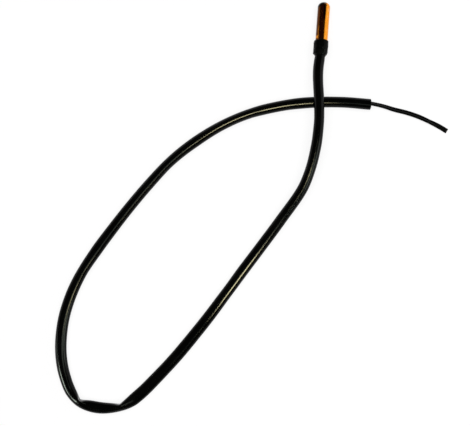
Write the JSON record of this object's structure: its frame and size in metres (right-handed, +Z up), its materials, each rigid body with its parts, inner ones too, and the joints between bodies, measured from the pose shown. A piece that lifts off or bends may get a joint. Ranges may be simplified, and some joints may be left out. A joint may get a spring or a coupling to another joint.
{
  "type": "pipe temperature sensor",
  "caption": "Copper tube probe with a potted thermistor, on a long kinked hollow plastic sleeve with a flat lead coming out of its cut mouth.",
  "frame": {"origin": "on the floor, under the middle of the probe head (copper tube and collar)", "axes": "+Y along the probe head as seen from above, towards its closed tip; +Z up from the floor; +X to the right of the probe"},
  "size_m": [0.1835, 0.2089, 0.0105],
  "materials": {
    "copper": "bright drawn copper, lightly tarnished",
    "collar_plastic": "satin black heat-shrink plastic",
    "sleeve_plastic": "glossy black flexible plastic",
    "lead_plastic": "satin black cable insulation",
    "bead_coating": "dipped epoxy coating",
    "chip_ceramic": "sintered oxide ceramic with silvered faces",
    "tinned_wire": "bright tinned wire",
    "tinned_brass": "tinned crimp barrel",
    "cover_plastic": "thin white insulating tube",
    "bare_conductor": "bare copper strands",
    "resin": "dark potting resin"
  },
  "bodies": {
    "root": {"probe_tube": "copper", "collar": "collar_plastic", "sleeve": "sleeve_plastic", "lead": "lead_plastic", "thermistor_bead": "bead_coating", "thermistor_chip": "chip_ceramic", "thermistor_leg_a": "tinned_wire", "thermistor_leg_b": "tinned_wire", "splice_barrel_a": "tinned_brass", "splice_barrel_b": "tinned_brass", "splice_cover_a": "cover_plastic", "splice_cover_b": "cover_plastic", "conductor_a": "bare_conductor", "conductor_b": "bare_conductor", "potting": "resin"}
  },
  "joints": []
}
